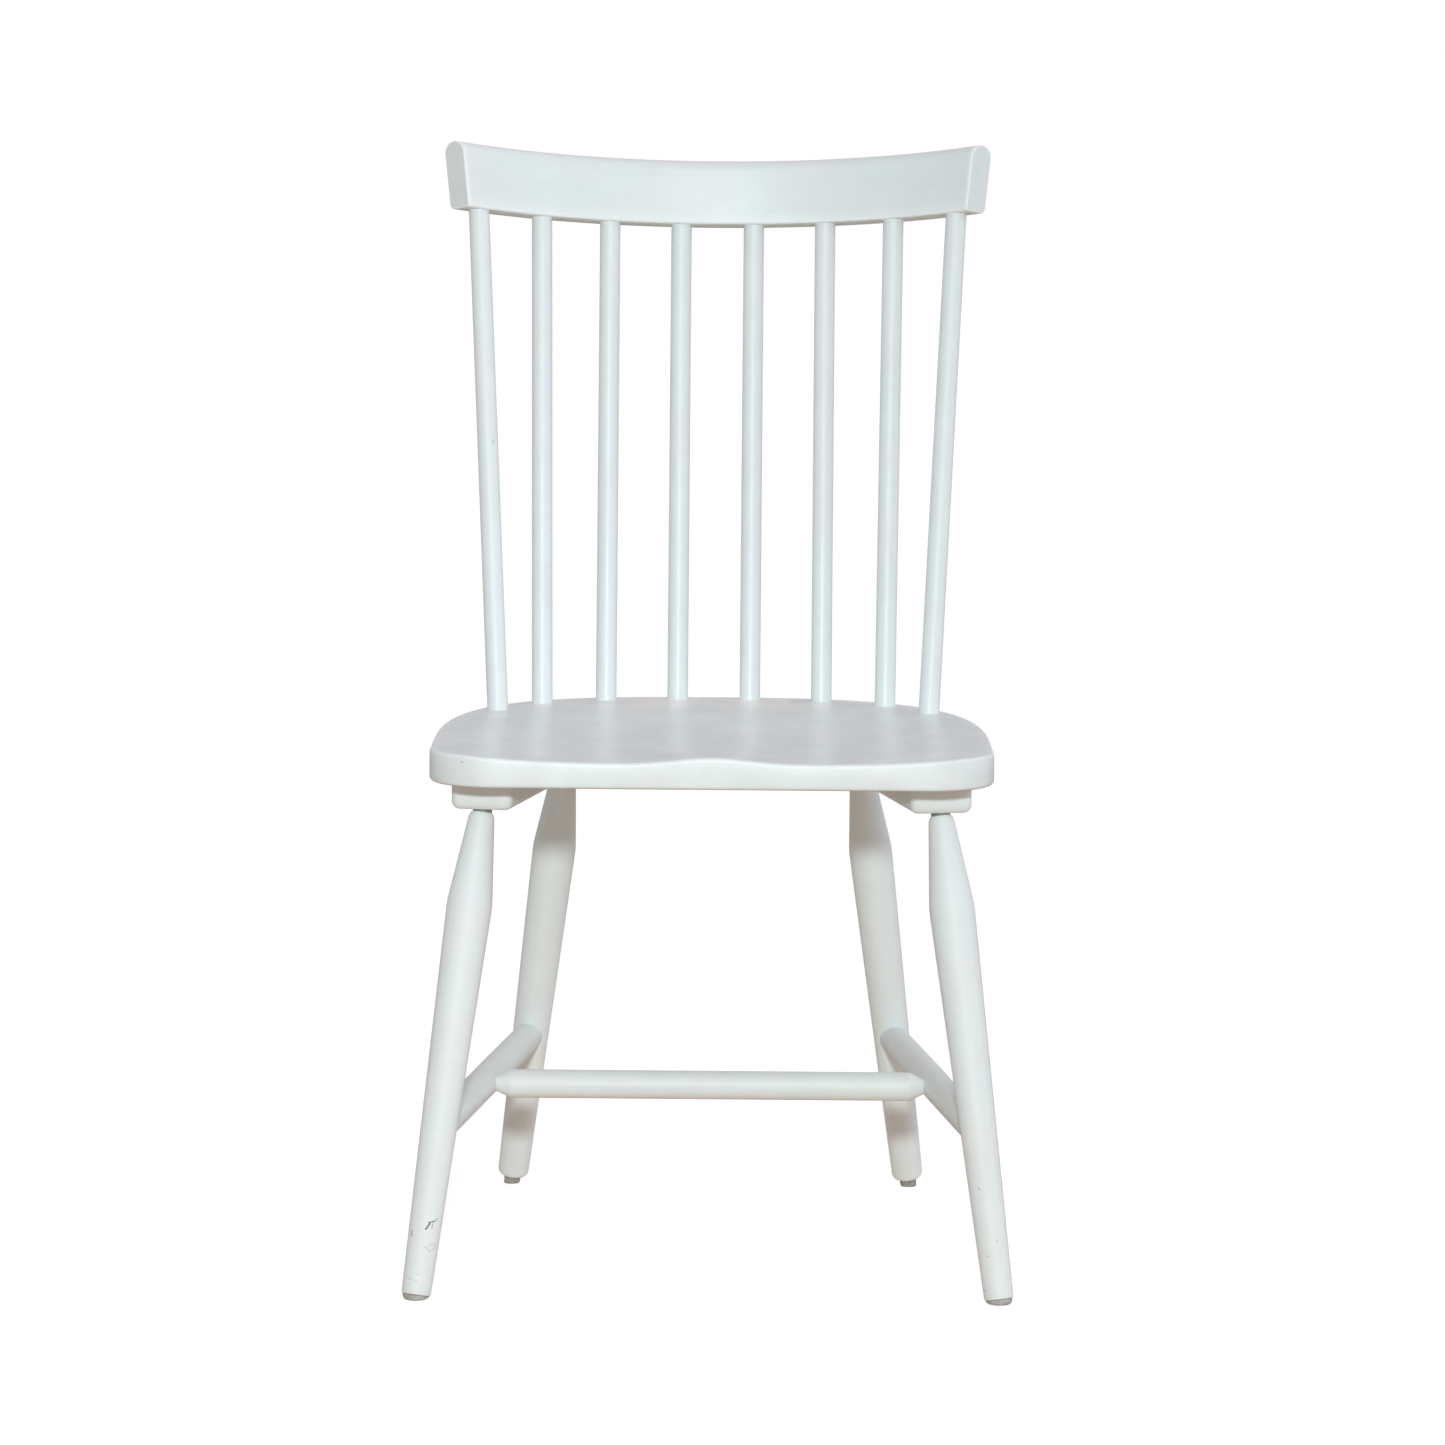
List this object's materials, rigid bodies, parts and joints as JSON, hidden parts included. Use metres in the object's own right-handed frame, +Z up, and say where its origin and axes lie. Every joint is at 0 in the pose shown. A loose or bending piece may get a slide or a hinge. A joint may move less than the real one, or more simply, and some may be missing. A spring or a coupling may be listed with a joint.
{
  "type": "spindle back dining chair",
  "caption": "Armless dining chair with a saddled round-backed seat, splayed turned legs tied by stretchers, and straight round spindles under a bent crest rail.",
  "frame": {"origin": "on the floor, under the middle of the chair's box", "axes": "+Z up, the sitter faces -Y, +X to the right of someone who looks at the front of the chair"},
  "size_m": [0.506, 0.5578, 0.9428],
  "materials": {
    "painted_wood": "satin off-white paint over wood, faint grain",
    "glide_plastic": "worn matt grey",
    "nail_steel": "plain steel wire",
    "bolt_steel": "bright zinc-plated steel",
    "insert_zinc": "yellow-plated zinc alloy, dull"
  },
  "bodies": {
    "root": {"seat": "painted_wood", "crest_rail": "painted_wood", "spindle_1": "painted_wood", "spindle_2": "painted_wood", "spindle_3": "painted_wood", "spindle_4": "painted_wood", "spindle_5": "painted_wood", "spindle_6": "painted_wood", "spindle_7": "painted_wood", "spindle_8": "painted_wood", "front_left_leg": "painted_wood", "front_right_leg": "painted_wood", "rear_left_leg": "painted_wood", "rear_right_leg": "painted_wood", "left_bearer": "painted_wood", "left_side_stretcher": "painted_wood", "right_bearer": "painted_wood", "right_side_stretcher": "painted_wood", "middle_stretcher": "painted_wood", "front_left_glide": "glide_plastic", "front_left_glide_nail": "nail_steel", "front_left_bolt": "bolt_steel", "front_left_washer": "bolt_steel", "front_left_insert": "insert_zinc", "front_right_glide": "glide_plastic", "front_right_glide_nail": "nail_steel", "front_right_bolt": "bolt_steel", "front_right_washer": "bolt_steel", "front_right_insert": "insert_zinc", "rear_left_glide": "glide_plastic", "rear_left_glide_nail": "nail_steel", "rear_left_bolt": "bolt_steel", "rear_left_washer": "bolt_steel", "rear_left_insert": "insert_zinc", "rear_right_glide": "glide_plastic", "rear_right_glide_nail": "nail_steel", "rear_right_bolt": "bolt_steel", "rear_right_washer": "bolt_steel", "rear_right_insert": "insert_zinc"}
  },
  "joints": []
}
